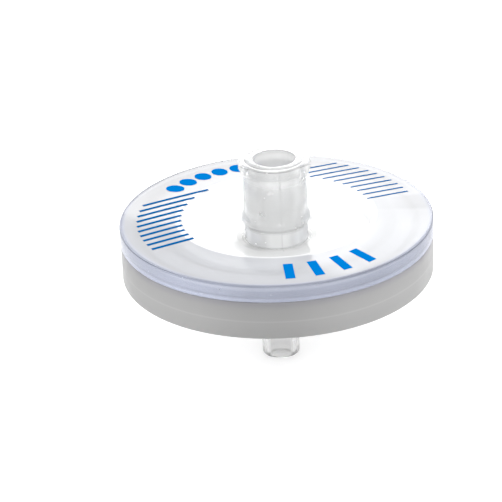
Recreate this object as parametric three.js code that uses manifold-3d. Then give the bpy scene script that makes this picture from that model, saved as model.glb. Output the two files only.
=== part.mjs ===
// Syringe filter for a 25 mm membrane: a clear inlet shell with a female luer lock, a membrane
// disc and a translucent outlet shell with a male luer. The two shells are welded at their rims.
// Millimetres, +Z up along the flow axis, origin at the centre of the outlet tip's end face.

import * as THREE from 'three';
import { mergeVertices } from 'three/addons/utils/BufferGeometryUtils.js';
import Module from 'manifold-3d';

// ---- Driving dimensions -------------------------------------------------------------------

const segmentsAround = 48;
const stepsPerRounding = 3;
const stepsAcrossCrown = 4;

// Membrane and the seal at its edge.
const membraneDiameter = 25;
const membraneThickness = 0.2;
const membraneEdgeClearance = 0.4;
const sealWidth = 1.0;

// Outlet shell.
const outletBandHeight = 4.15;
const outletFloorThickness = 1.6;
const supportRibHeight = 0.4;
const supportRibWidth = 0.55;
const supportRibPitch = 1.85;
const supportLandWidth = 1.6;
const collectorCount = 8;
const collectorWidth = 0.9;
const outletPocketWall = 1.3;
const outletOuterWall = 1.35;
const outletEdgeRounding = 0.2;
const outletLipRounding = 0.12;

// Weld groove in the outlet shell and the inlet shell's tongue in it.
const weldGrooveWidth = 1.1;
const weldTongueClearance = 0.2;
const weldTongueDepth = 1.1;

// Male luer of the outlet.
const luerTaperOnDiameter = 0.06;
const outletLength = 10.0;
const outletTipDiameter = 3.98;
const outletBoreDiameter = 2.2;
const outletTipRounding = 0.25;
const outletRootRounding = 0.5;
const outletFunnelDepth = 0.5;

// Flange of the inlet shell: its side is the upper band, its crowned top the outer ring.
const flangeThickness = 1.85;
const flangeOverhang = 0.05;
const flangeRounding = 0.22;
const flangeLowerRounding = 0.1;
const crownRise = 0.3;
const plugClearance = 0.15;

// Recess inside the ring and the chamber under its floor.
const recessWall = 1.3;
const recessDraft = 0.15;
const recessEdgeRounding = 0.35;
const recessRootRounding = 0.3;
const inletFloorThickness = 1.1;
const chamberHeight = 0.6;
const chamberRounding = 0.2;

// Female luer tube of the inlet.
const inletTubeHeight = 6.8;
const inletSocketDiameter = 4.29;
const inletSocketDepth = 8.0;
const inletBoreDiameter = 2.4;
const inletSocketStepHeight = 0.35;
const inletMouthChamfer = 0.1;
const inletTubeWall = 1.175;
const inletTubeDraft = 0.055;
const inletNeckReduction = 0.02;
const inletRimCollar = 0.14;
const inletRimCollarHeight = 0.75;
const inletRimCollarSlope = 0.6;
const inletRimBevel = 0.38;
const inletRimBevelDrop = 0.14;

// Ring bead around the tube, level with the top of the flange.
const beadRadiusGain = 0.24;
const beadLowerHeight = 0.28;
const beadBandHeight = 0.4;
const beadUpperSlope = 0.5;

// Luer lock lugs: two starts of a right-hand thread.
const lugCount = 2;
const lugGain = 0.5;
const lugArcDegrees = 64;
const lugThreadLead = 5;
const lugFlankDegrees = 50;
const lugHeight = 1.75;
const lugTopSetback = 0.06;
const lugRootDepth = 0.3;
const stepsAlongLug = 8;

// ---- Sizes and levels that follow -----------------------------------------------------------

const membraneRadius = membraneDiameter / 2;
const pocketRadius = membraneRadius + membraneEdgeClearance;
const plugRadius = pocketRadius - plugClearance;
const sealInnerRadius = membraneRadius - sealWidth;
const grooveInnerRadius = pocketRadius + outletPocketWall;
const grooveOuterRadius = grooveInnerRadius + weldGrooveWidth;
const outletRadius = grooveOuterRadius + outletOuterWall;
const flangeRadius = outletRadius + flangeOverhang;
const recessRadius = sealInnerRadius - recessWall;

const undersideLevel = outletLength;
const outletFloorLevel = undersideLevel + outletFloorThickness;
const membraneLevel = outletFloorLevel + supportRibHeight;
const membraneTopLevel = membraneLevel + membraneThickness;
const chamberRoofLevel = membraneTopLevel + chamberHeight;
const recessFloorLevel = chamberRoofLevel + inletFloorThickness;
const jointLevel = undersideLevel + outletBandHeight;
const rimLevel = jointLevel + flangeThickness;
const mouthLevel = rimLevel + inletTubeHeight;

const outletTipRadius = outletTipDiameter / 2;
const outletRootRadius = outletTipRadius + (outletLength * luerTaperOnDiameter) / 2;
const outletBoreRadius = outletBoreDiameter / 2;
const socketMouthRadius = inletSocketDiameter / 2;
const socketEndRadius = socketMouthRadius - (inletSocketDepth * luerTaperOnDiameter) / 2;
const socketEndLevel = mouthLevel - inletSocketDepth;
const inletBoreRadius = inletBoreDiameter / 2;
const tubeRadius = socketMouthRadius + inletTubeWall;
const tubeBaseRadius = tubeRadius + inletTubeDraft;
const neckRadius = tubeBaseRadius - inletNeckReduction;
const rimCollarRadius = tubeRadius + inletRimCollar;
const beadRadius = tubeBaseRadius + beadRadiusGain;
const lugRadius = tubeRadius + lugGain;

// ---- Sections -------------------------------------------------------------------------------

/** One corner of a section: its distance from the axis, its height and its rounding. */
function corner(radius, height, rounding = 0) {
  return { point: new THREE.Vector2(radius, height), rounding };
}

/** The arc that rounds a corner, kept shorter than half of either edge beside it. */
function roundedCorner(before, here, after) {
  const toBefore = before.point.clone().sub(here.point);
  const toAfter = after.point.clone().sub(here.point);
  const shortestEdge = Math.min(toBefore.length(), toAfter.length());
  toBefore.normalize();
  toAfter.normalize();
  const halfAngle = Math.acos(THREE.MathUtils.clamp(toBefore.dot(toAfter), -1, 1)) / 2;
  const setback = Math.min(here.rounding / Math.tan(halfAngle), 0.48 * shortestEdge);
  const radius = setback * Math.tan(halfAngle);
  const bisector = toBefore.clone().add(toAfter).normalize();
  const centre = here.point.clone().addScaledVector(bisector, radius / Math.sin(halfAngle));
  const start = here.point.clone().addScaledVector(toBefore, setback).sub(centre);
  const end = here.point.clone().addScaledVector(toAfter, setback).sub(centre);
  const turn = Math.atan2(start.cross(end), start.dot(end));
  return Array.from({ length: stepsPerRounding + 1 }, (_, step) => {
    const spoke = start.clone().rotateAround(new THREE.Vector2(), (turn * step) / stepsPerRounding);
    return spoke.add(centre);
  });
}

/** The closed outline through the corners, listed counter-clockwise with the axis on the left. */
function sectionOutline(corners) {
  const outline = corners.flatMap((here, index) => {
    if (here.rounding === 0) return [here.point];
    const before = corners[(index + corners.length - 1) % corners.length];
    const after = corners[(index + 1) % corners.length];
    return roundedCorner(before, here, after);
  });
  return [...outline, outline[0].clone()];
}

/** Turns a closed outline around +Z. */
function revolve(outline) {
  return new THREE.LatheGeometry(outline, segmentsAround).rotateX(Math.PI / 2);
}

// ---- Solids for joining and cutting ---------------------------------------------------------

const wasm = await Module();
wasm.setup();

/** A closed three.js geometry as a solid. */
function solidFrom(geometry) {
  const bare = geometry.clone();
  bare.deleteAttribute('normal');
  bare.deleteAttribute('uv');
  const merged = mergeVertices(bare);
  const mesh = new wasm.Mesh({
    numProp: 3,
    vertProperties: new Float32Array(merged.attributes.position.array),
    triVerts: new Uint32Array(merged.index.array),
  });
  return new wasm.Manifold(mesh);
}

/** A solid as a three.js geometry. */
function geometryFrom(solid) {
  const { vertProperties, triVerts } = solid.getMesh();
  const geometry = new THREE.BufferGeometry();
  geometry.setAttribute('position', new THREE.BufferAttribute(new Float32Array(vertProperties), 3));
  geometry.setIndex(new THREE.BufferAttribute(new Uint32Array(triVerts), 1));
  geometry.computeVertexNormals();
  return geometry;
}

// ---- Inlet shell ----------------------------------------------------------------------------

/** Height of the shallow dome that the ring's top follows. */
function crownLevel(radius) {
  const span = flangeRadius ** 2 - recessRadius ** 2;
  return rimLevel + (crownRise * (flangeRadius ** 2 - radius ** 2)) / span;
}

/** Underside: the plug that presses on the membrane, the flange's joint face and the tongue. */
function inletUndersideCorners() {
  const tongueInner = grooveInnerRadius + weldTongueClearance;
  const tongueOuter = grooveOuterRadius - weldTongueClearance;
  const tongueLevel = jointLevel - weldTongueDepth;
  return [
    corner(sealInnerRadius, membraneTopLevel),
    corner(plugRadius, membraneTopLevel),
    corner(plugRadius, jointLevel),
    corner(tongueInner, jointLevel),
    corner(tongueInner, tongueLevel),
    corner(tongueOuter, tongueLevel),
    corner(tongueOuter, jointLevel),
    corner(flangeRadius, jointLevel, flangeLowerRounding),
  ];
}

/** Flange side, crowned ring and the recess inside it. */
function inletRingCorners() {
  const crown = Array.from({ length: stepsAcrossCrown - 1 }, (_, step) => {
    const share = (step + 1) / stepsAcrossCrown;
    const radius = THREE.MathUtils.lerp(flangeRadius, recessRadius, share);
    return corner(radius, crownLevel(radius));
  });
  return [
    corner(flangeRadius, rimLevel, flangeRounding),
    ...crown,
    corner(recessRadius, crownLevel(recessRadius), recessEdgeRounding),
    corner(recessRadius - recessDraft, recessFloorLevel, recessRootRounding),
  ];
}

/** Outside of the tube from the recess floor to the mouth. */
function inletTubeCorners() {
  const beadBottom = rimLevel - beadLowerHeight;
  const beadTop = rimLevel + beadBandHeight;
  const collarBottom = mouthLevel - inletRimCollarHeight;
  return [
    corner(neckRadius, recessFloorLevel, recessRootRounding),
    corner(neckRadius, beadBottom),
    corner(beadRadius, rimLevel, beadLowerHeight / 2),
    corner(beadRadius, beadTop, beadBandHeight / 2),
    corner(tubeBaseRadius, beadTop + beadUpperSlope),
    corner(tubeRadius, collarBottom - inletRimCollarSlope),
    corner(rimCollarRadius, collarBottom),
    corner(rimCollarRadius, mouthLevel - inletRimBevelDrop, inletRimBevelDrop),
    corner(rimCollarRadius - inletRimBevel, mouthLevel),
  ];
}

/** Tapered socket, the bore below it and the chamber over the membrane. */
function inletInsideCorners() {
  return [
    corner(socketMouthRadius + inletMouthChamfer, mouthLevel),
    corner(socketMouthRadius, mouthLevel - inletMouthChamfer),
    corner(socketEndRadius, socketEndLevel),
    corner(inletBoreRadius, socketEndLevel - inletSocketStepHeight),
    corner(inletBoreRadius, chamberRoofLevel, chamberRounding),
    corner(sealInnerRadius, chamberRoofLevel, chamberRounding),
  ];
}

/** One lock lug: a sector of a ring whose underside climbs with the thread. */
function lugGeometry(centreAngle) {
  const halfArc = THREE.MathUtils.degToRad(lugArcDegrees) / 2;
  const innerRadius = tubeRadius - lugRootDepth;
  const topLevel = mouthLevel - lugTopSetback;
  const plan = new THREE.Shape();
  plan.absarc(0, 0, lugRadius, -halfArc, halfArc, false);
  plan.absarc(0, 0, innerRadius, halfArc, -halfArc, true);
  const geometry = new THREE.ExtrudeGeometry(plan, {
    depth: lugHeight,
    bevelEnabled: false,
    curveSegments: stepsAlongLug,
  });
  geometry.translate(0, 0, topLevel - lugHeight);

  const flankSlope = Math.tan(THREE.MathUtils.degToRad(lugFlankDegrees));
  const position = geometry.attributes.position;
  for (let index = 0; index < position.count; index += 1) {
    if (position.getZ(index) > topLevel - lugHeight / 2) continue;
    const angle = Math.atan2(position.getY(index), position.getX(index));
    const radius = Math.hypot(position.getX(index), position.getY(index));
    const climb = (lugThreadLead * angle) / (2 * Math.PI);
    const flank = (radius - tubeRadius) * flankSlope;
    position.setZ(index, topLevel - lugHeight + climb + flank);
  }
  return geometry.rotateZ(centreAngle);
}

function inletShellGeometry() {
  const outline = sectionOutline([
    ...inletUndersideCorners(),
    ...inletRingCorners(),
    ...inletTubeCorners(),
    ...inletInsideCorners(),
  ]);
  let shell = solidFrom(revolve(outline));
  for (let lug = 0; lug < lugCount; lug += 1) {
    shell = shell.add(solidFrom(lugGeometry((2 * Math.PI * lug) / lugCount)));
  }
  return geometryFrom(shell);
}

// ---- Outlet shell ---------------------------------------------------------------------------

/** Male luer, flat underside and outer wall up to the joint. */
function outletOutsideCorners() {
  return [
    corner(outletBoreRadius, 0),
    corner(outletTipRadius, 0, outletTipRounding),
    corner(outletRootRadius, undersideLevel, outletRootRounding),
    corner(outletRadius, undersideLevel, outletEdgeRounding),
    corner(outletRadius, jointLevel, outletLipRounding),
  ];
}

/** Joint face, weld groove and the pocket that holds the membrane. */
function outletRimCorners() {
  return [
    corner(grooveOuterRadius, jointLevel),
    corner(grooveOuterRadius, membraneLevel),
    corner(grooveInnerRadius, membraneLevel),
    corner(grooveInnerRadius, jointLevel),
    corner(pocketRadius, jointLevel),
    corner(pocketRadius, membraneLevel),
  ];
}

/** The support floor: an edge land and ring ribs, listed from the edge to the bore. */
function outletFloorCorners() {
  const landInnerRadius = pocketRadius - supportLandWidth;
  const funnelRadius = outletBoreRadius + outletFunnelDepth;
  const corners = [
    corner(landInnerRadius, membraneLevel),
    corner(landInnerRadius, outletFloorLevel),
  ];
  let ribOuter = landInnerRadius - (supportRibPitch - supportRibWidth);
  while (ribOuter - supportRibWidth > funnelRadius) {
    const ribInner = ribOuter - supportRibWidth;
    corners.push(corner(ribOuter, outletFloorLevel));
    corners.push(corner(ribOuter, membraneLevel));
    corners.push(corner(ribInner, membraneLevel));
    corners.push(corner(ribInner, outletFloorLevel));
    ribOuter -= supportRibPitch;
  }
  corners.push(corner(funnelRadius, outletFloorLevel));
  corners.push(corner(outletBoreRadius, outletFloorLevel - outletFunnelDepth));
  return corners;
}

/** A radial channel that lets the filtrate cross the ring ribs. */
function collectorGeometry(angle) {
  const start = outletBoreRadius;
  const end = pocketRadius - supportLandWidth - supportRibWidth / 2;
  const height = 2 * supportRibHeight;
  const geometry = new THREE.BoxGeometry(end - start, collectorWidth, height);
  geometry.translate((start + end) / 2, 0, outletFloorLevel + height / 2);
  return geometry.rotateZ(angle);
}

function outletShellGeometry() {
  const outline = sectionOutline([
    ...outletOutsideCorners(),
    ...outletRimCorners(),
    ...outletFloorCorners(),
  ]);
  let shell = solidFrom(revolve(outline));
  for (let channel = 0; channel < collectorCount; channel += 1) {
    const angle = (2 * Math.PI * (channel + 0.5)) / collectorCount;
    shell = shell.subtract(solidFrom(collectorGeometry(angle)));
  }
  return geometryFrom(shell);
}

// ---- Membrane -------------------------------------------------------------------------------

function membraneGeometry() {
  const disc = new THREE.CylinderGeometry(
    membraneRadius, membraneRadius, membraneThickness, segmentsAround,
  );
  disc.rotateX(Math.PI / 2);
  return disc.translate(0, 0, membraneLevel + membraneThickness / 2);
}

// ---- Assembly -------------------------------------------------------------------------------

const clearPlastic = new THREE.MeshStandardMaterial({
  color: 0xd6dcf2, roughness: 0.08, metalness: 0, transparent: true, opacity: 0.55,
});
const frostedPlastic = new THREE.MeshStandardMaterial({
  color: 0xb9bab8, roughness: 0.4, metalness: 0,
});
const membraneWhite = new THREE.MeshStandardMaterial({
  color: 0xf7f7f5, roughness: 0.9, metalness: 0,
});

/** A named mesh of one moulded or cut piece. */
function piece(name, geometry, material) {
  const mesh = new THREE.Mesh(geometry, material);
  mesh.name = name;
  return mesh;
}

const syringeFilter = new THREE.Group();
syringeFilter.name = 'syringe_filter';
syringeFilter.add(
  piece('inlet_shell', inletShellGeometry(), clearPlastic),
  piece('membrane', membraneGeometry(), membraneWhite),
  piece('outlet_shell', outletShellGeometry(), frostedPlastic),
);

export default syringeFilter;
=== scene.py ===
"""Syringe filter for a 25 mm membrane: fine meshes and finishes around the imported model.

The clear inlet shell, the membrane and the translucent outlet shell are each turned finely in
place of their construction solids, and the ring of the inlet shell carries printed marks.
The frame is in metres, +Z up along the flow axis, with the outlet tip on the floor. Sizes in
the classes below are in millimetres, apart from the lights', and become metres when a mesh is
made.
"""

import logging
import math
from collections.abc import Callable, Iterable
from dataclasses import dataclass
from enum import Enum
from itertools import pairwise

import bpy
from mathutils import Matrix, Vector


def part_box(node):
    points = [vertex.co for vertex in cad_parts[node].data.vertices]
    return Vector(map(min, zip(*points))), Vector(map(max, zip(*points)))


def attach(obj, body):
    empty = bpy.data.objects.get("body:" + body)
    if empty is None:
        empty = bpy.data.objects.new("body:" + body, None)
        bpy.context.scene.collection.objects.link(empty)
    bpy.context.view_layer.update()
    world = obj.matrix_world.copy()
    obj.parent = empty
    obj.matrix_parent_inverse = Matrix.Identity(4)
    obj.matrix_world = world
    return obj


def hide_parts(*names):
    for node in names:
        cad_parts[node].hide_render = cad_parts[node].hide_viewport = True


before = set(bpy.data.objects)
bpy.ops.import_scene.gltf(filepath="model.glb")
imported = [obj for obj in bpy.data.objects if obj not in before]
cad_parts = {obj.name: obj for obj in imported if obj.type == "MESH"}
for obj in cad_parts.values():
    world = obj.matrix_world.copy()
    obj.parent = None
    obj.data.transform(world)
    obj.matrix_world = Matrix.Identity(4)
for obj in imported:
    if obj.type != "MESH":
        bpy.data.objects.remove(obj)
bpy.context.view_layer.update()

MM = 0.001
DEGREE = math.radians(1)
CREASE = math.radians(32)
LONGEST_SETBACK = 0.48
CLOSEST_COLUMNS = 0.3
log = logging.getLogger("syringe_filter")

Point = tuple[float, float]
Spot = tuple[float, float, float]
Face = tuple[int, ...]
Outline = list[Point]
Colour = tuple[float, float, float]
Grade = tuple[tuple[float, Colour], ...]
Material = bpy.types.Material
Socket = bpy.types.NodeSocket
Inputs = dict[str | int, Socket | float | tuple[float, ...]]
WHITE: Colour = (1.0, 1.0, 1.0)


class Slot(Enum):
    """The record's material slots."""

    CLEAR = "clear_plastic"
    MEMBRANE = "membrane"
    FROSTED = "frosted_plastic"
    PRINT = "print_blue"


# ---- Turned sections ----


@dataclass(frozen=True)
class Corner:
    """One corner of a turned section: distance from the axis, height and rounding."""

    radius: float
    height: float
    rounding: float = 0.0


def rounded(before: Corner, here: Corner, after: Corner, steps: int) -> Outline:
    """Replaces a corner by the arc that rounds it.

    Args:
        before: The corner before this one.
        here: The corner to round.
        after: The corner after this one.
        steps: How many chords the arc has.

    Returns:
        The arc's points, or the corner alone where it has no rounding.
    """
    middle = Vector((here.radius, here.height))
    to_before = Vector((before.radius, before.height)) - middle
    to_after = Vector((after.radius, after.height)) - middle
    if here.rounding == 0 or to_before.length == 0 or to_after.length == 0:
        return [(here.radius, here.height)]
    shortest = min(to_before.length, to_after.length)
    to_before.normalize()
    to_after.normalize()
    half = math.acos(max(-1.0, min(1.0, to_before.dot(to_after)))) / 2
    setback = min(here.rounding / math.tan(half), LONGEST_SETBACK * shortest)
    radius = setback * math.tan(half)
    centre = middle + (to_before + to_after).normalized() * (radius / math.sin(half))
    start = middle + to_before * setback - centre
    end = middle + to_after * setback - centre
    turn = math.atan2(start.x * end.y - start.y * end.x, start.dot(end))
    arc = []
    for step in range(steps + 1):
        spoke = Matrix.Rotation(turn * step / steps, 2) @ start
        arc.append((centre.x + spoke.x, centre.y + spoke.y))
    return arc


def alike(rounding: float, *points: Point) -> list[Corner]:
    """Corners at these points, all with the same rounding."""
    return [Corner(radius, height, rounding) for radius, height in points]


def section(corners: list[Corner], steps: int, closed: bool = True, even: bool = False) -> Outline:
    """Rounds every corner of a section.

    Args:
        corners: The corners, counter-clockwise with the axis on the left.
        steps: How many chords each rounding has.
        closed: Whether the last corner joins the first. If not, both stay sharp.
        even: Whether a corner without rounding gets as many points as the others.

    Returns:
        The outline's points.
    """
    outline: Outline = []
    for index, here in enumerate(corners):
        if not closed and index in (0, len(corners) - 1):
            outline.append((here.radius, here.height))
            continue
        arc = rounded(corners[index - 1], here, corners[(index + 1) % len(corners)], steps)
        outline += arc * (steps + 1) if even and len(arc) == 1 else arc
    return outline


def mix(first: Outline, second: Outline, share: float) -> Outline:
    """Outline between two outlines of as many points, share of the way to the second.

    Args:
        first: One outline.
        second: The other.
        share: How far towards the second, from 0 to 1.

    Returns:
        The outline in between.
    """
    return [
        (a[0] + (b[0] - a[0]) * share, a[1] + (b[1] - a[1]) * share)
        for a, b in zip(first, second, strict=True)
    ]


def smooth_step(value: float) -> float:
    """Value held between 0 and 1 and eased at both ends."""
    held = max(0.0, min(1.0, value))
    return held * held * (3 - 2 * held)


def from_half_turn(angle: float) -> float:
    """Angle from the nearest half turn, at most a quarter turn either way."""
    return (angle + math.pi / 2) % math.pi - math.pi / 2


def even_angles(count: int, extra: Iterable[float] = ()) -> list[float]:
    """Angles around the axis.

    Args:
        count: How many evenly spaced angles.
        extra: Angles to add, in radians, any turn.

    Returns:
        The angles in order from 0 to a full turn, without near doubles.
    """
    wanted = [math.tau * step / count for step in range(count)]
    kept = sorted(angle % math.tau for angle in extra)
    spacing = CLOSEST_COLUMNS * math.tau / count
    wanted = [a for a in wanted if all(abs(a - b) > spacing for b in kept)]
    return sorted(wanted + kept)


def skin(starts: Iterable[int], size: int) -> list[Face]:
    """Joins rings of vertices, each to the next.

    Args:
        starts: Number of each ring's first vertex.
        size: How many vertices a ring has.

    Returns:
        The faces between the rings, as the vertices' numbers.
    """
    faces = []
    for here, there in pairwise(starts):
        for row in range(size):
            after = (row + 1) % size
            faces.append((here + row, there + row, there + after, here + after))
    return faces


def turned_mesh(
    name: str, angles: list[float], outline_at: Callable[[float], Outline]
) -> bpy.types.Mesh:
    """Turns a closed outline around the flow axis.

    Args:
        name: The mesh's name.
        angles: The angles of the columns.
        outline_at: Gives the outline, in millimetres, at an angle. All have as many points.

    Returns:
        A closed mesh in metres with smooth faces and sharp edges where it turns sharply.
    """
    vertices = []
    for angle in angles:
        across, along = math.cos(angle) * MM, math.sin(angle) * MM
        vertices += [(r * across, r * along, h * MM) for r, h in outline_at(angle)]
    rows = len(vertices) // len(angles)
    columns = range(0, len(vertices), rows)
    return finished(name, vertices, skin([*columns, 0], rows))


def finished(name: str, vertices: list[Spot], faces: list[Face]) -> bpy.types.Mesh:
    """Makes a smooth mesh with sharp edges where its faces turn by more than the crease.

    Args:
        name: The mesh's name.
        vertices: Its vertices, in metres.
        faces: Its faces, as the vertices' numbers.

    Returns:
        The mesh.
    """
    mesh = bpy.data.meshes.new(name)
    mesh.from_pydata(vertices, [], faces)
    mesh.validate()
    mesh.shade_smooth()
    mesh.set_sharp_from_angle(angle=CREASE)
    return mesh


def linked(name: str, data: bpy.types.ID) -> bpy.types.Object:
    """Puts a mesh, a light or a camera into the scene.

    Args:
        name: The object's name.
        data: Its data.

    Returns:
        The object.
    """
    item = bpy.data.objects.new(name, data)
    bpy.context.scene.collection.objects.link(item)
    return item


def place(name: str, mesh: bpy.types.Mesh, material: Material, slot: Slot) -> bpy.types.Object:
    """Puts a finished mesh into the scene as a piece of the object.

    Args:
        name: The piece's name.
        mesh: Its mesh, in the row frame.
        material: Its finish.
        slot: The record's slot that the finish belongs to.

    Returns:
        The piece, riding on the root body.
    """
    mesh.materials.append(material)
    piece = linked(name, mesh)
    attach(piece, "root")
    log.info("%s: %d faces, slot %s", name, len(mesh.polygons), slot.value)
    return piece


# ---- Finishes ----


def grey(level: float) -> Colour:
    """Neutral colour of a level, which also stands for a plain number in a grade."""
    return (level, level, level)


def greys(*stops: Point) -> Grade:
    """Grade of plain numbers, from pairs of a length or an angle and the number there."""
    return tuple((at, grey(level)) for at, level in stops)


class Sheet:
    """A material's node tree, filled one node at a time."""

    noise_middle: Point = (0.3, 0.7)

    def __init__(self, name: str) -> None:
        """Starts a material called name that has a shader and nothing wired to it.

        Args:
            name: The material's name.
        """
        self.material = bpy.data.materials.new(name)
        self.material.use_nodes = True
        self.nodes = self.material.node_tree.nodes
        self.nodes.clear()
        self.output = self.nodes.new("ShaderNodeOutputMaterial")
        self.shader = self.nodes.new("ShaderNodeBsdfPrincipled")
        self.feed(self.output, {"Surface": self.shader.outputs["BSDF"]})

    def feed(self, node: bpy.types.Node, inputs: Inputs) -> None:
        """Links the sockets among the inputs to the node and sets the plain values on it.

        Args:
            node: The node.
            inputs: What its inputs get, by their names or numbers.
        """
        for name, source in inputs.items():
            if isinstance(source, Socket):
                self.material.node_tree.links.new(source, node.inputs[name])
            else:
                node.inputs[name].default_value = source

    def shaded(self, inputs: Inputs) -> Material:
        """Gives the shader its inputs and returns the material."""
        self.feed(self.shader, inputs)
        return self.material

    def add(self, kind: str, output: str, inputs: Inputs, **settings: str) -> Socket:
        """Adds a node.

        Args:
            kind: Its type.
            output: Which of its outputs to give back.
            inputs: What its inputs get, by their names or numbers.
            settings: Its properties.

        Returns:
            The output's socket.
        """
        node = self.nodes.new(kind)
        for name, value in settings.items():
            setattr(node, name, value)
        self.feed(node, inputs)
        return node.outputs[output]

    def coordinates(self, kind: str = "Object") -> Socket:
        """Position on the object in metres, or for Normal the way that the surface faces."""
        return self.add("ShaderNodeTexCoord", kind, {})

    def part(self, name: str, vector: Socket) -> Socket:
        """The X, Y or Z of a vector."""
        return self.add("ShaderNodeSeparateXYZ", name, {"Vector": vector})

    def noise(self, scale: float, detail: float = 2.0, stretch: Point = (1.0, 1.0)) -> Socket:
        """Adds a noise over the object.

        Args:
            scale: Cells for each metre.
            detail: Octaves.
            stretch: Scale across and along the flow axis.

        Returns:
            The noise's value.
        """
        across, along = stretch
        inputs = {"Vector": self.coordinates(), "Scale": (across, across, along)}
        spot = self.add("ShaderNodeMapping", "Vector", inputs)
        inputs = {"Vector": spot, "Scale": scale, "Detail": detail}
        return self.add("ShaderNodeTexNoise", "Fac", inputs)

    def spread(self, value: Socket, low: float, high: float) -> Socket:
        """Maps a noise from around its middle to between low and high."""
        start, end = self.noise_middle
        return self.between(value, (start, low), (end, high))

    def from_axis(self) -> Socket:
        """Distance from the flow axis, in metres.

        Returns:
            The distance.
        """
        inputs = {0: self.coordinates(), 1: (1.0, 1.0, 0.0)}
        flat = self.add("ShaderNodeVectorMath", "Vector", inputs, operation="MULTIPLY")
        return self.add("ShaderNodeVectorMath", "Value", {0: flat}, operation="LENGTH")

    def height(self) -> Socket:
        """Height over the outlet tip, in metres."""
        return self.part("Z", self.coordinates())

    def facing_up(self) -> Socket:
        """How far the surface faces up: 1 on a flat top, 0 on an upright wall, -1 below."""
        return self.part("Z", self.coordinates("Normal"))

    def around_axis(self, span: float = math.pi) -> Socket:
        """Angle around the flow axis in radians, which starts again after each span.

        Args:
            span: The angle after which it starts again.

        Returns:
            The angle.
        """
        spot = self.coordinates()
        inputs = {0: self.part("Y", spot), 1: self.part("X", spot)}
        angle = self.add("ShaderNodeMath", "Value", inputs, operation="ARCTAN2")
        inputs = {0: angle, 1: span}
        return self.add("ShaderNodeMath", "Value", inputs, operation="FLOORED_MODULO")

    def scaled(self, value: Socket, by: Socket) -> Socket:
        """One value times another."""
        return self.add("ShaderNodeMath", "Value", {0: value, 1: by}, operation="MULTIPLY")

    def between(self, value: Socket, start: Point, end: Point) -> Socket:
        """Runs from one level to another.

        Args:
            value: What decides the level.
            start: The value where it starts and the level there.
            end: The value where it ends and the level there.

        Returns:
            The level.
        """
        ends = {"From Min": start[0], "From Max": end[0], "To Min": start[1], "To Max": end[1]}
        return self.add("ShaderNodeMapRange", "Result", {"Value": value, **ends})

    def blended(self, share: Socket, first: Socket | float, second: Socket | float) -> Socket:
        """Runs from the first value, where the share is 0, to the second, where it is 1."""
        inputs = {"Factor": share, "A": first, "B": second}
        return self.add("ShaderNodeMix", "Result", inputs, data_type="FLOAT")

    def dimmed(self, colour: Socket, by: Socket) -> Socket:
        """A colour times a factor."""
        inputs = {0: colour, "Scale": by}
        return self.add("ShaderNodeVectorMath", "Vector", inputs, operation="SCALE")

    def lets_lamps_through(self, shader: Socket, tint: Colour) -> Socket:
        """Lets lamp light pass straight through a clear shader, tinted on its way.

        Args:
            shader: The shader.
            tint: The lamp light's colour behind it.

        Returns:
            The mixed shader.
        """
        lamp = self.add("ShaderNodeLightPath", "Is Shadow Ray", {})
        clear = self.add("ShaderNodeBsdfTransparent", "BSDF", {"Color": (*tint, 1.0)})
        return self.add("ShaderNodeMixShader", "Shader", {"Fac": lamp, 1: shader, 2: clear})

    def graded(self, value: Socket, stops: Grade, unit: float = MM) -> Socket:
        """Runs through colours as a length or an angle grows.

        Args:
            value: The length in metres, or the angle in radians.
            stops: Lengths in millimetres or angles in degrees, in order, each with its colour.
            unit: What one step of the stops is in the value's unit.

        Returns:
            The colour at the value.
        """
        low, high = stops[0][0], stops[-1][0]
        ramp = self.nodes.new("ShaderNodeValToRGB")
        elements = ramp.color_ramp.elements
        while len(elements) < len(stops):
            elements.new(0.5)
        for element, (at, colour) in zip(elements, stops, strict=True):
            element.position = (at - low) / (high - low)
            element.color = (*colour, 1.0)
        share = self.between(value, (low * unit, 0.0), (high * unit, 1.0))
        self.feed(ramp, {"Fac": share})
        return ramp.outputs["Color"]

    def bump(self, height: Socket, depth: float) -> Socket:
        """Normal of a surface that rises by a depth in millimetres where the height is 1."""
        inputs = {"Height": height, "Strength": 1.0, "Distance": depth * MM}
        return self.add("ShaderNodeBump", "Normal", inputs)


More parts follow.
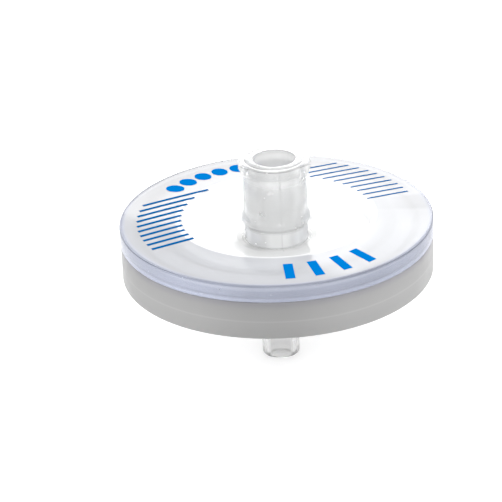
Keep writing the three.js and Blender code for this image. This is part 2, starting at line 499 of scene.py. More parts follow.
@dataclass(frozen=True)
class ClearPlastic:
    """Clear moulded plastic, milky in the tube and tinted blue along the flange's side.

    Grades of painted light and shade around the axis run over the angle in degrees; the tube's
    painted shade, the flange side's painted light and shade, the strength of the tube's painted
    light and the tube's clearness run over the height; the rest, the tint with its painted shade
    too, over the distance from the axis.
    """

    # Painted shade in the tint: a darker bore with a dark line at its lip, a dark line at the
    # rim's bevel edge, and a darker recess floor around the tube's foot, which stands in for the
    # tube's reflection and shade there.
    tint: Grade = (
        (2.14, grey(0.6)), (2.18, grey(0.42)), (2.25, grey(0.42)), (2.3, (0.99, 0.99, 0.98)),
        (3.03, (0.99, 0.99, 0.98)), (3.06, grey(0.66)), (3.1, grey(0.66)),
        (3.13, (0.99, 0.99, 0.98)), (4.2, (0.99, 0.99, 0.98)), (4.4, grey(0.75)),
        (5.5, grey(0.75)), (6.2, grey(0.99)), (8, grey(0.99)), (10.3, grey(0.97)),
        (10.8, (0.55, 0.558, 0.58)), (16, (0.55, 0.558, 0.58)), (16.45, (0.53, 0.555, 0.66)),
        (16.6, (0.695, 0.74, 0.93)),
    )
    clearness: Grade = greys(
        (2.15, 0.35), (2.3, 0.83), (3.12, 0.83), (3.14, 0.3), (3.29, 0.3), (3.31, 0.83),
        (3.66, 0.83), (3.72, 0.6), (5.2, 0.5), (6.2, 0.4), (9.8, 0.3), (10.05, 0.1), (10.3, 0.1),
        (10.8, 0.4), (16.3, 0.4), (16.6, 0.75),
    )
    joint_share: Grade = greys((10.2, 1), (10.4, 0), (16.4, 0), (16.6, 1))
    joint_level: float = 14.2
    joint_fade: float = 0.05
    tube_edge: Point = (3.444, 3.486)
    # Painted light and shade on the tube by the angle around the axis: darker where it faces left
    # or right, with light and dark upright streaks between.
    tube_light_and_shade_around: Grade = greys(
        (0, 0.74), (10, 0.8), (18, 0.98), (28, 1), (38, 0.81), (55, 0.8), (66, 0.88), (78, 1),
        (97, 1), (98.5, 0.8), (100, 1), (110, 1), (117, 0.9), (125, 0.92), (132, 1), (139, 0.94),
        (150, 0.96), (162, 0.9), (172, 0.78), (180, 0.74),
    )
    wall_share: Grade = greys((2.3, 0), (2.4, 1), (4.2, 1), (4.4, 0))
    edge_share: Grade = greys((16.45, 0), (16.6, 1))
    # Painted light and shade over the height of the flange's side: a lighter strip along its lower
    # edge and a dark line along its top edge.
    edge_light_and_shade: Grade = greys(
        (14.15, 1), (14.45, 0.98), (14.7, 0.8), (15.7, 0.8), (15.86, 0.66), (15.95, 0.66),
        (16.02, 0.85),
    )
    # Painted light and shade on the flange's side by the angle around the axis: darkest where it
    # faces front or back, lighter where it faces left or right, with patches between.
    edge_light_and_shade_around: Grade = greys(
        (0, 0.85), (12, 0.8), (20, 0.95), (52, 0.98), (60, 0.9), (66, 0.83), (72, 0.74),
        (80, 0.65), (94, 0.66), (108, 0.7), (122, 0.72), (132, 0.78), (140, 0.85), (152, 0.82),
        (162, 0.88), (180, 0.85),
    )
    ring_share: Grade = greys(
        (10.6, 0), (10.9, 0.2), (12.5, 0.3), (14.6, 0.8), (16.1, 0.8), (16.25, 1), (16.48, 1),
        (16.55, 0),
    )
    # Painted shade on the ring's top by the angle around the axis: darker over its right and back,
    # with darker patches at the right that stand in for reflections.
    ring_shade_around: Grade = greys(
        (0, 0.87), (3, 0.68), (14, 0.68), (17, 0.84), (30, 0.66), (60, 0.5), (110, 0.4),
        (140, 0.42), (160, 0.62), (180, 0.95), (200, 1), (296, 1), (302, 0.9), (330, 0.93),
        (345, 1), (360, 0.87),
    )
    tube_clearness: Grade = greys((15.3, 0.75), (15.8, 1))
    # How strongly the tube's painted light and shade shows, over the height.
    painted_light_strength: Grade = greys((15.5, 1), (16, 0.3), (18.2, 0.3), (20, 1))
    # Painted shade over the height: on the recess floor at the tube's foot, a dark band under the
    # bead, a slightly darker lower tube and a dark line under the rim's bevel.
    tube_shade: Grade = greys(
        (13.93, 0.75), (13.98, 1), (15.45, 1), (15.62, 0.74), (15.78, 0.74), (15.95, 0.95),
        (18.2, 0.95), (20, 1), (22.5, 1), (22.56, 0.45), (22.62, 0.45), (22.66, 1),
    )
    ior: float = 1.5
    wall_roughness: Grade = greys((4, 0.24), (5, 0.38), (16.4, 0.38), (16.55, 0.24))
    face_roughness: float = 0.08
    face_slope: Point = (0.5, 0.9)
    roughness_wander: Point = (0.85, 1.15)
    wander_scale: float = 900.0
    absorbed: Colour = (0.6, 0.75, 1.0)
    density: float = 8.0
    lamp_tint: Colour = (0.84, 0.85, 0.86)
    ripple_depth: float = 0.002
    ripple_scale: float = 420.0
    ripple_stretch: Point = (1.0, 0.25)

    def material(self) -> Material:
        """Builds the finish.

        Returns:
            The material.
        """
        sheet = Sheet("clear_plastic")
        radius = sheet.from_axis()
        ripple = sheet.noise(self.ripple_scale, stretch=self.ripple_stretch)
        lit = sheet.lets_lamps_through(sheet.shader.outputs["BSDF"], self.lamp_tint)
        inputs = {"Color": (*self.absorbed, 1.0), "Density": self.density}
        volume = sheet.add("ShaderNodeVolumeAbsorption", "Volume", inputs)
        sheet.feed(sheet.output, {"Surface": lit, "Volume": volume})
        inputs = {
            # The tint is dimmed by painted light and shade.
            "Base Color": sheet.dimmed(sheet.graded(radius, self.tint), self.shade(sheet, radius)),
            "Transmission Weight": self.see_through(sheet, radius),
            "Roughness": self.polish(sheet, radius),
            "Normal": sheet.bump(ripple, self.ripple_depth),
            "IOR": self.ior,
        }
        return sheet.shaded(inputs)

    def shade(self, sheet: Sheet, radius: Socket) -> Socket:
        """Painted light and shade on the tube, the ring and the flange's side.

        Args:
            sheet: The material's nodes.
            radius: Distance from the axis.

        Returns:
            A factor for the tint, 1 where no light or shade is painted.
        """
        height, half_turn = sheet.height(), sheet.around_axis()
        # Painted light and shade on the tube's walls: streaks by angle and shade by height.
        light_and_shade_around = sheet.graded(half_turn, self.tube_light_and_shade_around, DEGREE)
        tube_painted_light = sheet.blended(sheet.graded(height, self.painted_light_strength), 1.0, light_and_shade_around)
        tube = sheet.scaled(tube_painted_light, sheet.graded(height, self.tube_shade))
        walls = sheet.blended(sheet.graded(radius, self.wall_share), 1.0, tube)
        # Painted light and shade on the flange's side.
        light_and_shade_around = sheet.graded(half_turn, self.edge_light_and_shade_around, DEGREE)
        side = sheet.scaled(light_and_shade_around, sheet.graded(height, self.edge_light_and_shade))
        sides = sheet.blended(sheet.graded(radius, self.edge_share), walls, side)
        # Painted shade on the ring's top.
        light_and_shade_around = sheet.graded(sheet.around_axis(math.tau), self.ring_shade_around, DEGREE)
        ring = sheet.blended(sheet.graded(radius, self.ring_share), 1.0, light_and_shade_around)
        return sheet.scaled(sides, ring)

    def see_through(self, sheet: Sheet, radius: Socket) -> Socket:
        """How clear the plastic is: least at the weld and in the lower tube.

        Args:
            sheet: The material's nodes.
            radius: Distance from the axis.

        Returns:
            The share of the light that goes through.
        """
        level = self.joint_level * MM
        above = sheet.between(sheet.height(), (level, 0.0), (level + self.joint_fade * MM, 1.0))
        bonded = sheet.blended(above, sheet.graded(radius, self.joint_share), 1.0)
        neck = sheet.graded(sheet.height(), self.tube_clearness)
        start, end = self.tube_edge
        beyond = sheet.between(radius, (start * MM, 0.0), (end * MM, 1.0))
        milky = sheet.scaled(bonded, sheet.blended(beyond, neck, 1.0))
        return sheet.scaled(sheet.graded(radius, self.clearness), milky)

    def polish(self, sheet: Sheet, radius: Socket) -> Socket:
        """Glossy on faces that look up, satin on walls, uneven by a little.

        Args:
            sheet: The material's nodes.
            radius: Distance from the axis.

        Returns:
            The roughness.
        """
        start, end = self.face_slope
        flat = sheet.between(sheet.facing_up(), (start, 0.0), (end, 1.0))
        walls = sheet.graded(radius, self.wall_roughness)
        wander = sheet.spread(sheet.noise(self.wander_scale, detail=3.0), *self.roughness_wander)
        return sheet.scaled(sheet.blended(flat, walls, self.face_roughness), wander)


@dataclass(frozen=True)
class FrostedPlastic:
    """Translucent moulded plastic: grey where its walls lie in layers, clearer in the spout.

    The painted light and shade around the axis runs over the angle in degrees, the other grades
    over the height. The colour's grade also holds painted shade on the spout and under the flange
    and a painted highlight line round the band.
    """

    # Painted shade and highlight in the colour: a dark crescent low on the spout, a light line
    # round the band at 11.96 mm and a dark strip under the flange's lip.
    colour: Grade = (
        (0, grey(0.95)), (0.4, grey(0.9)), (0.7, grey(0.76)), (1.9, grey(0.8)), (2.8, grey(0.94)),
        (8, grey(0.86)), (9.9, (0.4, 0.4, 0.398)), (11, (0.41, 0.41, 0.408)),
        (11.85, (0.43, 0.43, 0.428)), (11.96, (0.5, 0.5, 0.498)), (12.08, (0.42, 0.42, 0.418)),
        (13.3, grey(0.4)), (13.9, (0.34, 0.335, 0.36)), (14.15, (0.34, 0.335, 0.36)),
    )
    clearness: Grade = greys((0, 0.95), (3, 0.9), (8, 0.75), (9.9, 0.45))
    band_share: Grade = greys((9.6, 0), (9.9, 1))
    # Painted shade on the band by the angle around the axis: darker where it faces front, back,
    # left or right, and lighter between.
    light_and_shade_around: Grade = greys(
        (0, 0.78), (12, 0.75), (20, 0.8), (30, 0.9), (42, 0.97), (50, 0.97), (60, 0.94),
        (68, 0.87), (78, 0.8), (90, 0.78), (96, 0.8), (104, 0.87), (114, 0.94), (126, 0.97),
        (138, 1), (150, 0.97), (157, 0.99), (163, 0.95), (170, 0.87), (180, 0.78),
    )
    ior: float = 1.49
    roughness: Point = (0.3, 0.4)
    wander_scale: float = 700.0
    polish: Grade = greys((9, 0.6), (9.9, 1))
    grain_depth: float = 0.004
    grain_scale: float = 9000.0

    def material(self) -> Material:
        """Builds the finish.

        Returns:
            The material.
        """
        sheet = Sheet("frosted_plastic")
        height = sheet.height()
        # Painted shade by the angle around the axis, on the band only.
        light_and_shade_around = sheet.graded(sheet.around_axis(), self.light_and_shade_around, DEGREE)
        shade = sheet.blended(sheet.graded(height, self.band_share), 1.0, light_and_shade_around)
        rough = sheet.spread(sheet.noise(self.wander_scale, detail=3.0), *self.roughness)
        grain = sheet.noise(self.grain_scale)
        inputs = {
            "Base Color": sheet.dimmed(sheet.graded(height, self.colour), shade),
            "Transmission Weight": sheet.graded(height, self.clearness),
            "Roughness": sheet.scaled(rough, sheet.graded(height, self.polish)),
            "Normal": sheet.bump(grain, self.grain_depth),
            "IOR": self.ior,
        }
        return sheet.shaded(inputs)


@dataclass(frozen=True)
class MembraneSheet:
    """White microporous sheet, matte, graded over the distance from the axis."""

    colour: Grade = ((11.2, (0.66, 0.66, 0.655)), (11.5, grey(0.45)))
    roughness: float = 0.85
    pore_depth: float = 0.01
    pore_scale: float = 12000.0

    def material(self) -> Material:
        """Builds the finish.

        Returns:
            The material.
        """
        sheet = Sheet("membrane")
        pores = sheet.noise(self.pore_scale, detail=3.0)
        inputs = {
            "Base Color": sheet.graded(sheet.from_axis(), self.colour),
            "Roughness": self.roughness,
            "Normal": sheet.bump(pores, self.pore_depth),
        }
        return sheet.shaded(inputs)


@dataclass(frozen=True)
class PrintInk:
    """Pad-printed ink, thin and matte."""

    name: str
    colour: Colour
    roughness: Point = (0.5, 0.7)
    grain_depth: float = 0.003
    grain_scale: float = 6000.0

    def material(self) -> Material:
        """Builds the finish.

        Returns:
            The material.
        """
        sheet = Sheet(self.name)
        grain = sheet.noise(self.grain_scale)
        inputs = {
            "Base Color": (*self.colour, 1.0),
            "Specular IOR Level": 0.0,
            "Roughness": sheet.spread(grain, *self.roughness),
            "Normal": sheet.bump(grain, self.grain_depth),
        }
        return sheet.shaded(inputs)


# ---- Sub-assemblies ----


@dataclass(frozen=True)
class Levels:
    """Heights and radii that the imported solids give, in millimetres."""

    mouth: float
    joint: float
    membrane_top: float
    membrane_bottom: float
    flange_radius: float
    outlet_radius: float
    membrane_radius: float

    @classmethod
    def from_frame(cls) -> "Levels":
        """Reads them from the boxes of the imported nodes.

        Returns:
            The levels.
        """
        inlet_low, inlet_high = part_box("inlet_shell")
        disc_low, disc_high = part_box("membrane")
        outlet_low, outlet_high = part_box("outlet_shell")
        return cls(
            mouth=inlet_high.z / MM,
            joint=outlet_high.z / MM,
            membrane_top=disc_high.z / MM,
            membrane_bottom=disc_low.z / MM,
            flange_radius=inlet_high.x / MM,
            outlet_radius=outlet_high.x / MM,
            membrane_radius=disc_high.x / MM,
        )


@dataclass(frozen=True)
class Ring:
    """The crowned ring of the inlet shell, which carries the print."""

    levels: Levels
    flange_thickness: float = 1.85
    crown_rise: float = 0.3
    recess_radius: float = 10.2

    @property
    def rim(self) -> float:
        """Height of the ring's outer edge."""
        return self.levels.joint + self.flange_thickness

    def crown(self, radius: float) -> float:
        """Height of the ring's top at a distance from the axis."""
        outer = self.levels.flange_radius**2
        return self.rim + self.crown_rise * (outer - radius**2) / (outer - self.recess_radius**2)


@dataclass(frozen=True)
class InletShell:
    """The clear moulding: flange, crowned ring, recess and the tube with its luer lock."""

    levels: Levels
    ring: Ring
    columns: int = 240
    rounding_steps: int = 5
    crown_steps: int = 12
    seat_gap: float = 0.02

    plug_radius: float = 12.75
    seal_inner: float = 11.5
    tongue: Point = (14.4, 15.1)
    tongue_depth: float = 1.1
    flange_rounding: float = 0.22
    flange_lower_rounding: float = 0.12
    seal_rounding: float = 0.04
    plug_rounding: float = 0.06
    tongue_rounding: float = 0.08

    recess_draft: float = 0.15
    recess_edge_rounding: float = 0.35
    recess_root_rounding: float = 0.3
    chamber_height: float = 0.6
    chamber_rounding: float = 0.2
    floor_thickness: float = 1.1

    tube_radius: float = 3.32
    tube_base_radius: float = 3.375
    neck_radius: float = 3.355
    neck_root_rounding: float = 0.06
    neck_top_rounding: float = 0.05
    bead_radius: float = 3.615
    bead_lower: float = 0.28
    bead_band: float = 0.4
    bead_slope: float = 0.5
    bead_top_rounding: float = 0.3
    collar_radius: float = 3.46
    collar_height: float = 0.75
    collar_slope: float = 0.6
    collar_rounding: float = 0.2
    head_start: float = 0.96
    rim_bevel: float = 0.38
    rim_bevel_drop: float = 0.14
    bevel_rounding: float = 0.08
    rim_rounding: float = 0.03

    socket_radius: float = 2.145
    socket_depth: float = 8.0
    taper: float = 0.03
    mouth_chamfer: float = 0.1
    mouth_roundings: Point = (0.04, 0.05)
    bore_radius: float = 1.2
    socket_step: float = 0.35
    socket_roundings: Point = (0.1, 0.12)

    lug_radius: float = 3.82
    lug_half_arc: float = math.radians(32)
    lug_height: float = 1.75
    lug_setback: float = 0.06
    lug_rounding: float = 0.09
    lug_root_rounding: float = 0.06
    lug_end_width: float = math.radians(20)
    lug_end_steps: int = 3
    thread_lead: float = 5.0
    flank_angle: float = math.radians(60)

    seam_angle: float = math.radians(-81.5)
    seam_width: float = math.radians(1.3)
    seam_height: float = 0.025
    seam_steps: int = 4

    @property
    def recess_floor(self) -> float:
        """Height of the recess floor."""
        return self.levels.membrane_top + self.chamber_height + self.floor_thickness

    def underside(self) -> list[Corner]:
        """Plug over the membrane's edge, joint face and weld tongue.

        Returns:
            The corners, from the seal's edge out.
        """
        seat = self.levels.membrane_top + self.seat_gap
        joint = self.levels.joint + self.seat_gap
        inner, outer = self.tongue
        tip = joint - self.tongue_depth
        return [
            Corner(self.seal_inner, seat, self.seal_rounding),
            Corner(self.plug_radius, seat, self.plug_rounding),
            *alike(self.tongue_rounding, (self.plug_radius, joint), (inner, joint)),
            *alike(self.tongue_rounding, (inner, tip), (outer, tip), (outer, joint)),
            Corner(self.levels.flange_radius, joint, self.flange_lower_rounding),
        ]

    def ring_top(self) -> list[Corner]:
        """Flange side, crowned ring and the wall of the recess.

        Returns:
            The corners, from the flange in.
        """
        outer, inner = self.levels.flange_radius, self.ring.recess_radius
        crown = []
        for step in range(1, self.crown_steps):
            radius = outer + (inner - outer) * step / self.crown_steps
            crown.append(Corner(radius, self.ring.crown(radius)))
        return [
            Corner(outer, self.ring.rim, self.flange_rounding),
            *crown,
            Corner(inner, self.ring.crown(inner), self.recess_edge_rounding),
            Corner(inner - self.recess_draft, self.recess_floor, self.recess_root_rounding),
        ]

    def tube_foot(self) -> list[Corner]:
        """Neck and bead of the tube, from the recess floor up.

        Returns:
            The corners, from the bottom up.
        """
        top = self.ring.rim + self.bead_band
        return [
            Corner(self.neck_radius, self.recess_floor, self.neck_root_rounding),
            Corner(self.neck_radius, self.ring.rim - self.bead_lower, self.neck_top_rounding),
            Corner(self.bead_radius, self.ring.rim, self.bead_lower / 2),
            Corner(self.bead_radius, top, self.bead_band / 2),
            Corner(self.tube_base_radius, top + self.bead_slope, self.bead_top_rounding),
        ]

    def plain_head(self) -> list[Corner]:
        """Top of the tube between the lugs: collar and bevelled rim.

        Returns:
            The corners, from the bottom up.
        """
        mouth = self.levels.mouth
        collar = mouth - self.collar_height
        rim = self.collar_radius - self.rim_bevel
        shoulder = rim + self.rim_bevel * self.lug_setback / self.rim_bevel_drop
        return [
            Corner(self.tube_radius, collar - self.head_start),
            Corner(self.tube_radius, collar - self.collar_slope, self.collar_rounding),
            Corner(self.collar_radius, collar, self.collar_rounding),
            Corner(self.collar_radius, mouth - self.rim_bevel_drop, self.bevel_rounding),
            Corner(shoulder, mouth - self.lug_setback),
            Corner(rim, mouth, self.rim_rounding),
        ]

    def lug_head(self, angle: float) -> list[Corner]:
        """Top of the tube within a lug, at an angle from the lug's middle.

        Args:
            angle: The angle, in radians.

        Returns:
            As many corners as the plain head has.
        """
        top = self.levels.mouth - self.lug_setback
        climb = self.thread_lead * angle / math.tau
        flank = (self.lug_radius - self.tube_radius) * math.tan(self.flank_angle)
        under = top - self.lug_height + climb
        start, *_, shoulder, rim = self.plain_head()
        return [
            start,
            Corner(self.tube_radius, under, self.lug_root_rounding),
            *alike(self.lug_rounding, (self.lug_radius, under + flank), (self.lug_radius, top)),
            Corner(shoulder.radius, top),
            rim,
        ]

    def head(self, angle: float) -> Outline:
        """Outline of the top of the tube at an angle around the axis.

        Args:
            angle: The angle, in radians.

        Returns:
            The outline, from the bottom up.
        """
        plain = section(self.plain_head(), self.rounding_steps, closed=False, even=True)
        from_lug = from_half_turn(angle)
        outside = abs(from_lug) - self.lug_half_arc
        share = 1 - smooth_step(outside / self.lug_end_width + 0.5)
        if share == 0:
            return plain
        lugged = section(self.lug_head(from_lug), self.rounding_steps, closed=False, even=True)
        return mix(plain, lugged, share)

    def inside(self) -> list[Corner]:
        """Tapered socket, bore and the chamber over the membrane.

        Returns:
            The corners, from the mouth down.
        """
        mouth = self.levels.mouth
        bottom = mouth - self.socket_depth
        end = self.socket_radius - self.socket_depth * self.taper
        roof = self.levels.membrane_top + self.chamber_height
        above, below = self.mouth_roundings
        upper, lower = self.socket_roundings
        return [
            Corner(self.socket_radius + self.mouth_chamfer, mouth, above),
            Corner(self.socket_radius, mouth - self.mouth_chamfer, below),
            Corner(end, bottom, upper),
            Corner(self.bore_radius, bottom - self.socket_step, lower),
            Corner(self.bore_radius, roof, self.chamber_rounding),
            Corner(self.seal_inner, roof, self.chamber_rounding),
        ]

    def outline(self, angle: float) -> Outline:
        """The whole section at an angle around the axis.

        Args:
            angle: The angle, in radians.

        Returns:
            A closed outline. The parting line stands out of it from half way round the bead's
            lower corner, which is the foot's third last, up to the rim.
        """
        steps = self.rounding_steps
        head = self.head(angle)
        foot = [*self.underside(), *self.ring_top(), *self.tube_foot(), Corner(*head[0])]
        lower = section(foot, steps, closed=False)[1:-1]
        inner = [Corner(*head[-1]), *self.inside(), *foot[:2]]
        inside = section(inner, steps, closed=False)[:-1]
        start = len(lower) - 5 * (steps + 1) // 2
        seam = self.seam(angle)
        lifted = [(r + seam, h) for r, h in [*lower[start:], *head[:-1]]]
        return [*lower[:start], *lifted, *inside]

    def seam(self, angle: float) -> float:
        """How far the parting line stands out of the tube at an angle."""
        away = abs(from_half_turn(angle - self.seam_angle))
        return self.seam_height * (1 - smooth_step(away / self.seam_width))

    def angles(self) -> list[float]:
        """Column angles, closer together at the lugs' ends and the parting line.

        Returns:
            The angles, in radians.
        """
        extra = []
        for turn in (0.0, math.pi):
            for step in range(-self.lug_end_steps, self.lug_end_steps + 1):
                offset = self.lug_half_arc + step / self.lug_end_steps / 2 * self.lug_end_width
                extra += [turn - offset, turn + offset]
            for step in range(-self.seam_steps, self.seam_steps + 1):
                extra.append(turn + self.seam_angle + step / self.seam_steps * self.seam_width)
        return even_angles(self.columns, extra)

    def build(self, material: Material) -> bpy.types.Object:
        """Makes the piece in place of its construction solid.

        Args:
            material: Its finish.

        Returns:
            The piece.
        """
        mesh = turned_mesh("inlet_shell_fine", self.angles(), self.outline)
        piece = place("clear_inlet_shell", mesh, material, Slot.CLEAR)
        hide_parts("inlet_shell")
        return piece


@dataclass(frozen=True)
class Membrane:
    """The porous disc, gripped at its edge between the two shells."""

    levels: Levels
    columns: int = 144
    rows: int = 90
    grip_radius: float = 11.3
    rib_pitch: float = 1.85
    sag: float = 0.03
    seat_gap: float = 0.005
    middle_radius: float = 0.01

    def top(self, radius: float) -> float:
        """Height of the upper face, which dips between the support ribs.

        Args:
            radius: Distance from the axis.

        Returns:
            The height.
        """
        level = self.levels.membrane_top - self.seat_gap
        if radius > self.grip_radius:
            return level
        dip = 0.5 - 0.5 * math.cos(math.tau * (self.grip_radius - radius) / self.rib_pitch)
        return level - self.sag * dip

    def build(self, material: Material) -> bpy.types.Object:
        """Makes the piece in place of its construction solid.

        Args:
            material: Its finish.

        Returns:
            The piece.
        """
        edge, middle = self.levels.membrane_radius, self.middle_radius
        low = self.levels.membrane_bottom + self.seat_gap
        upper = [middle + (edge - middle) * (1 - row / self.rows) for row in range(self.rows + 1)]
        outline = [(edge, low), *((radius, self.top(radius)) for radius in upper), (middle, low)]
        mesh = turned_mesh("membrane_fine", even_angles(self.columns), lambda _: outline)
        piece = place("white_membrane", mesh, material, Slot.MEMBRANE)
        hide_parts("membrane")
        return piece


@dataclass(frozen=True)
class OutletShell:
    """The translucent moulding: outer wall, membrane seat and the tapered male luer."""

    levels: Levels
    columns: int = 240
    rounding_steps: int = 5

    band_height: float = 4.15
    floor_thickness: float = 1.6
    edge_rounding: float = 0.2
    lip_rounding: float = 0.12
    groove: Point = (14.2, 15.3)
    pocket_radius: float = 12.9
    joint_rounding: float = 0.06
    seat_rounding: float = 0.1
    land_width: float = 1.6
    land_rounding: float = 0.05
    rib_rounding: float = 0.08
    rib_width: float = 0.55
    rib_pitch: float = 1.85
    tip_radius: float = 1.99
    taper: float = 0.03
    tip_rounding: float = 0.25
    root_rounding: float = 0.5
    bore_radius: float = 1.1
    funnel: float = 0.5
    channel_count: int = 8
    channel_width: float = 0.9
    channel_trace: float = 0.01

    @property
    def underside(self) -> float:
        """Height of the flat underside over the outlet tip."""
        return self.levels.joint - self.band_height

    def outside(self) -> list[Corner]:
        """Male luer, underside and outer wall.

        Returns:
            The corners, from the bore out and up.
        """
        base = self.underside
        outer = self.levels.outlet_radius
        return [
            Corner(self.bore_radius, 0.0, self.joint_rounding),
            Corner(self.tip_radius, 0.0, self.tip_rounding),
            Corner(self.tip_radius + base * self.taper, base, self.root_rounding),
            Corner(outer, base, self.edge_rounding),
            Corner(outer, self.levels.joint, self.lip_rounding),
        ]

    def rim(self) -> list[Corner]:
        """Joint face, weld groove and the wall of the membrane's pocket.

        Returns:
            The corners, from the groove in.
        """
        inner, outer = self.groove
        joint, seat = self.levels.joint, self.levels.membrane_bottom
        return [
            Corner(outer, joint, self.joint_rounding),
            *alike(self.seat_rounding, (outer, seat), (inner, seat)),
            *alike(self.joint_rounding, (inner, joint), (self.pocket_radius, joint)),
            Corner(self.pocket_radius, seat, self.seat_rounding),
        ]

    def ribs(self) -> list[float]:
        """Outer radius of each ring rib, from the edge in.

        Returns:
            The radii.
        """
        funnel = self.bore_radius + self.funnel
        outer = self.pocket_radius - self.land_width - (self.rib_pitch - self.rib_width)
        found = []
        while outer - self.rib_width > funnel:
            found.append(outer)
            outer -= self.rib_pitch
        return found

    def channel_reach(self, rib: float) -> float:
        """Half the angle that a radial channel takes out of a ring rib."""
        return math.asin(self.channel_width / 2 / (rib - self.rib_width / 2))

    def in_channel(self, angle: float, rib: float) -> bool:
        """Whether a radial channel cuts a ring rib at an angle around the axis."""
        pitch = math.tau / self.channel_count
        return abs(angle % pitch - pitch / 2) < self.channel_reach(rib)

    def support_floor(self, angle: float) -> list[Corner]:
        """Edge land, ring ribs and the funnel into the bore at an angle around the axis.

        Args:
            angle: The angle, in radians.

        Returns:
            The corners, from the edge in.
        """
        seat = self.levels.membrane_bottom
        floor = self.underside + self.floor_thickness
        land = self.pocket_radius - self.land_width
        funnel = self.bore_radius + self.funnel
        points = [(land, floor)]
        for outer in self.ribs():
            inner = outer - self.rib_width
            top = floor + self.channel_trace if self.in_channel(angle, outer) else seat
            points += [(outer, floor), (outer, top), (inner, top), (inner, floor)]
        return [
            Corner(land, seat, self.land_rounding),
            *alike(self.rib_rounding, *points),
            *alike(0.0, (funnel, floor), (self.bore_radius, floor - self.funnel)),
        ]

    def outline(self, angle: float) -> Outline:
        """The whole section at an angle around the axis."""
        corners = [*self.outside(), *self.rim(), *self.support_floor(angle)]
        return section(corners, self.rounding_steps)

    def angles(self) -> list[float]:
        """Column angles, with a close pair where a channel's side cuts a ring rib.

        Returns:
            The angles, in radians.
        """
        extra = []
        for channel in range(self.channel_count):
            middle = math.tau * (channel + 0.5) / self.channel_count
            for outer in self.ribs():
                wall = self.channel_trace / outer
                for side in (-1, 1):
                    for step in (-1, 1):
                        extra.append(middle + side * (self.channel_reach(outer) + step * wall))
        return even_angles(self.columns, extra)

    def build(self, material: Material) -> bpy.types.Object:
        """Makes the piece in place of its construction solid.

        Args:
            material: Its finish.

        Returns:
            The piece.
        """
        mesh = turned_mesh("outlet_shell_fine", self.angles(), self.outline)
        piece = place("frosted_outlet_shell", mesh, material, Slot.FROSTED)
        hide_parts("outlet_shell")
        return piece


class MarkShape(Enum):
    """Outlines of the printed marks, each a width along its length."""

    STROKE = "stroke"
    DOT = "dot"

    def width_share(self, share: float) -> float:
        """Share of the full width at a share of the length.

        Args:
            share: How far along the mark, from 0 to 1.

        Returns:
            The share, from 0 to 1.
        """
        if self is MarkShape.STROKE:
            return 1.0
        return math.sqrt(max(0.0, 1 - (2 * share - 1) ** 2))


@dataclass(frozen=True)
class Mark:
    """One printed mark in plan: its two ends, its width and its outline."""

    start: Point
    end: Point
    width: float
    shape: MarkShape = MarkShape.STROKE


@dataclass(frozen=True)
class Row:
    """Marks set radially along the ring, between two angles in degrees."""

    first: float
    last: float
    count: int
    reach: Point
    width: float
    shape: MarkShape

    def marks(self) -> list[Mark]:
        """The marks, evenly spaced.

        Returns:
            The marks.
        """
        inner, outer = self.reach
        found = []
        for index in range(self.count):
            angle = math.radians(self.first + (self.last - self.first) * index / (self.count - 1))
            spoke = Vector((math.cos(angle), math.sin(angle)))
            found.append(Mark(tuple(spoke * inner), tuple(spoke * outer), self.width, self.shape))
        return found


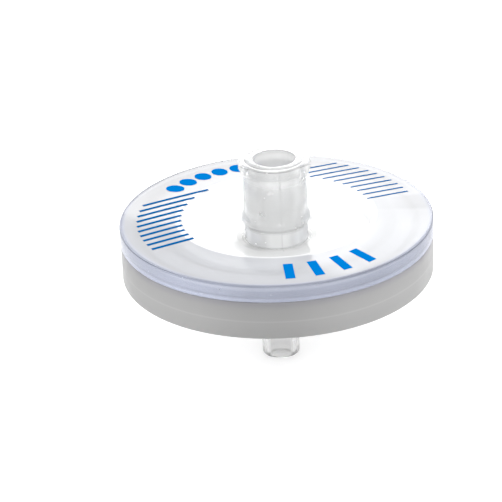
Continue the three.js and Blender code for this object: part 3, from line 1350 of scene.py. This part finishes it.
@dataclass(frozen=True)
class RingPrint:
    """The blue print on the crowned ring: two groups of hatch lines and two rows of marks."""

    ring: Ring
    lift: float = 0.004
    thickness: float = 0.016
    steps_on_mark: int = 14
    least_share: float = 0.03
    hatch_count: int = 10
    hatch_angle: float = math.radians(23.5)
    hatch_first: float = 9.49
    hatch_pitch: float = 1.176
    hatch_width: float = 0.42
    far_hatch_width: float = 0.24
    zone: Point = (10.23, 14.93)
    far_zone: Point = (10.23, 15.08)
    hatch_shift: float = 0.12
    dots: Row = Row(143.0, 107.0, 5, (12.4, 14.6), 1.7, MarkShape.DOT)
    bars: Row = Row(-86.0, -51.0, 4, (12.1, 15.2), 1.0, MarkShape.STROKE)

    def hatch(self) -> list[Mark]:
        """Parallel lines across the ring, cut where they pass over the recess.

        Returns:
            The lines.
        """
        along = Vector((math.cos(self.hatch_angle), math.sin(self.hatch_angle)))
        across = Vector((-along.y, along.x))
        shift = Vector((self.hatch_shift, 0.0))
        sides = ((-1, self.zone, self.hatch_width), (1, self.far_zone, self.far_hatch_width))
        marks = []
        for line in range(self.hatch_count):
            offset = self.hatch_first - line * self.hatch_pitch
            middle = shift + across * offset
            for side, zone, width in sides:
                reach = [side * math.sqrt(radius**2 - offset**2) for radius in zone]
                start, end = (tuple(middle + along * length) for length in reach)
                marks.append(Mark(start, end, width))
        return marks

    def mesh(self, name: str, marks: list[Mark]) -> bpy.types.Mesh:
        """Thin closed bodies that follow the crown, one for each mark.

        Args:
            name: The mesh's name.
            marks: The marks.

        Returns:
            The mesh, in metres.
        """
        vertices: list[Spot] = []
        faces: list[Face] = []
        for mark in marks:
            self.add_mark(mark, vertices, faces)
        return finished(name, vertices, faces)

    def add_mark(self, mark: Mark, vertices: list[Spot], faces: list[Face]) -> None:
        """Adds one mark's body.

        Args:
            mark: The mark.
            vertices: The mesh's vertices in metres, to which the body's are added.
            faces: The mesh's faces, likewise.
        """
        start, end = Vector(mark.start), Vector(mark.end)
        along = (end - start).normalized()
        across = Vector((-along.y, along.x))
        edges = ((-1, 0.0), (1, 0.0), (1, self.thickness), (-1, self.thickness))
        first = len(vertices)
        for step in range(self.steps_on_mark + 1):
            share = step / self.steps_on_mark
            if mark.shape is MarkShape.DOT:
                share = 0.5 - 0.5 * math.cos(math.pi * share)
            middle = start + (end - start) * share
            half = mark.width / 2 * max(self.least_share, mark.shape.width_share(share))
            for side, height in edges:
                spot = middle + across * half * side
                level = self.ring.crown(spot.length) + self.lift + height
                vertices.append((spot.x * MM, spot.y * MM, level * MM))
        size = len(edges)
        faces += skin(range(first, len(vertices), size), size)
        faces.append(tuple(range(first, first + size)))
        faces.append(tuple(reversed(range(len(vertices) - size, len(vertices)))))

    def build(self, line_ink: Material, mark_ink: Material) -> None:
        """Makes the printed pieces.

        Args:
            line_ink: The ink of the hatch lines.
            mark_ink: The ink of the rows.
        """
        for name, marks, ink in (
            ("hatch_print", self.hatch(), line_ink),
            ("dot_print", self.dots.marks(), mark_ink),
            ("bar_print", self.bars.marks(), mark_ink),
        ):
            place(name, self.mesh(name, marks), ink, Slot.PRINT)


# ---- Studio ----


@dataclass(frozen=True)
class Softbox:
    """A rectangular soft light that faces a point, in metres and watts."""

    name: str
    position: Spot
    size: Point
    power: float
    roll: float = 0.0
    target: Spot = (0.0, 0.0, 0.015)

    def build(self) -> None:
        """Adds the light."""
        data = bpy.data.lights.new(self.name, "AREA")
        data.shape = "RECTANGLE"
        data.size, data.size_y = self.size
        data.energy = self.power
        lamp = linked(self.name, data)
        lamp.location = self.position
        aim = (Vector(self.position) - Vector(self.target)).to_track_quat("Z", "Y")
        lamp.rotation_mode = "QUATERNION"
        lamp.rotation_quaternion = aim @ Matrix.Rotation(self.roll, 3, "Z").to_quaternion()
        lamp.visible_camera = False


@dataclass(frozen=True)
class Studio:
    """Pale floor, soft lights and the camera."""

    ring: Ring
    floor_size: float = 4000.0
    floor_colour: Colour = (0.93, 0.93, 0.935)
    floor_roughness: float = 0.9
    floor_glow: float = 0.36
    world_strength: float = 1.0
    lens: float = 186.45
    sensor: float = 36.0
    elevation: float = math.radians(25.48)
    roll: float = math.radians(-2.49)
    clip: Point = (10.0, 10000.0)
    distance: float = 276.208
    aim_right: float = 2.6705
    aim_up: float = 3.6188
    lights: tuple[Softbox, ...] = (
        Softbox("top_light", (0.0, 0.05, 0.7), (0.7, 0.6), 0.6),
        Softbox("front_light", (0.12, -0.7, 0.5), (0.6, 0.4), 3.0),
        Softbox("back_light", (0.0508, 0.58, 0.228), (0.22, 0.22), 0.35, math.radians(51)),
        Softbox("back_wall", (0.0, 0.95, 0.35), (1.8, 0.7), 2.4),
        Softbox("left_light", (-0.55, -0.1, 0.25), (0.4, 0.3), 0.7),
        Softbox("right_light", (0.55, -0.1, 0.25), (0.4, 0.3), 0.4),
    )

    def build(self) -> None:
        """Adds everything around the object."""
        bpy.context.scene.view_settings.view_transform = "Standard"
        self.add_world()
        self.add_floor()
        for light in self.lights:
            light.build()
        self.add_camera()

    def add_world(self) -> None:
        """A plain white surround."""
        world = bpy.data.worlds.new("studio")
        world.use_nodes = True
        background = world.node_tree.nodes["Background"]
        background.inputs["Color"].default_value = (*WHITE, 1.0)
        background.inputs["Strength"].default_value = self.world_strength
        bpy.context.scene.world = world

    def add_floor(self) -> None:
        """A plain pale floor under the outlet tip."""
        half = self.floor_size / 2 * MM
        corners = [(-half, -half, 0), (half, -half, 0), (half, half, 0), (-half, half, 0)]
        mesh = finished("floor", corners, [(0, 1, 2, 3)])
        sheet = Sheet("pale_floor")
        inputs = {
            "Base Color": (*self.floor_colour, 1.0),
            "Roughness": self.floor_roughness,
            "Emission Color": (*WHITE, 1.0),
            "Emission Strength": self.floor_glow,
        }
        mesh.materials.append(sheet.shaded(inputs))
        floor = linked("floor", mesh)

    def add_camera(self) -> None:
        """The camera, placed by where the ring's middle lies in its view."""
        data = bpy.data.cameras.new("camera")
        data.lens, data.sensor_width = self.lens, self.sensor
        data.clip_start, data.clip_end = (length * MM for length in self.clip)
        back = Vector((0.0, -math.cos(self.elevation), math.sin(self.elevation)))
        level_up = Vector((0.0, math.sin(self.elevation), math.cos(self.elevation)))
        level_right = Vector((1.0, 0.0, 0.0))
        right = math.cos(self.roll) * level_right + math.sin(self.roll) * level_up
        up = math.cos(self.roll) * level_up - math.sin(self.roll) * level_right
        middle = Vector((0.0, 0.0, self.ring.rim))
        spot = middle - right * self.aim_right - up * self.aim_up + back * self.distance
        camera = linked("camera", data)
        turn = Matrix((right, up, back)).transposed().to_4x4()
        camera.matrix_world = Matrix.Translation(spot * MM) @ turn
        bpy.context.scene.camera = camera


def main() -> None:
    """Builds the pieces in order, then the studio."""
    logging.basicConfig(level=logging.INFO, format="%(name)s: %(message)s")
    levels = Levels.from_frame()
    ring = Ring(levels)
    OutletShell(levels).build(FrostedPlastic().material())
    Membrane(levels).build(MembraneSheet().material())
    InletShell(levels, ring).build(ClearPlastic().material())
    line_ink = PrintInk("line_ink", (0.002, 0.1, 0.3)).material()
    mark_ink = PrintInk("mark_ink", (0.0, 0.16, 0.5)).material()
    RingPrint(ring).build(line_ink, mark_ink)
    Studio(ring).build()


if __name__ == "__main__":
    main()
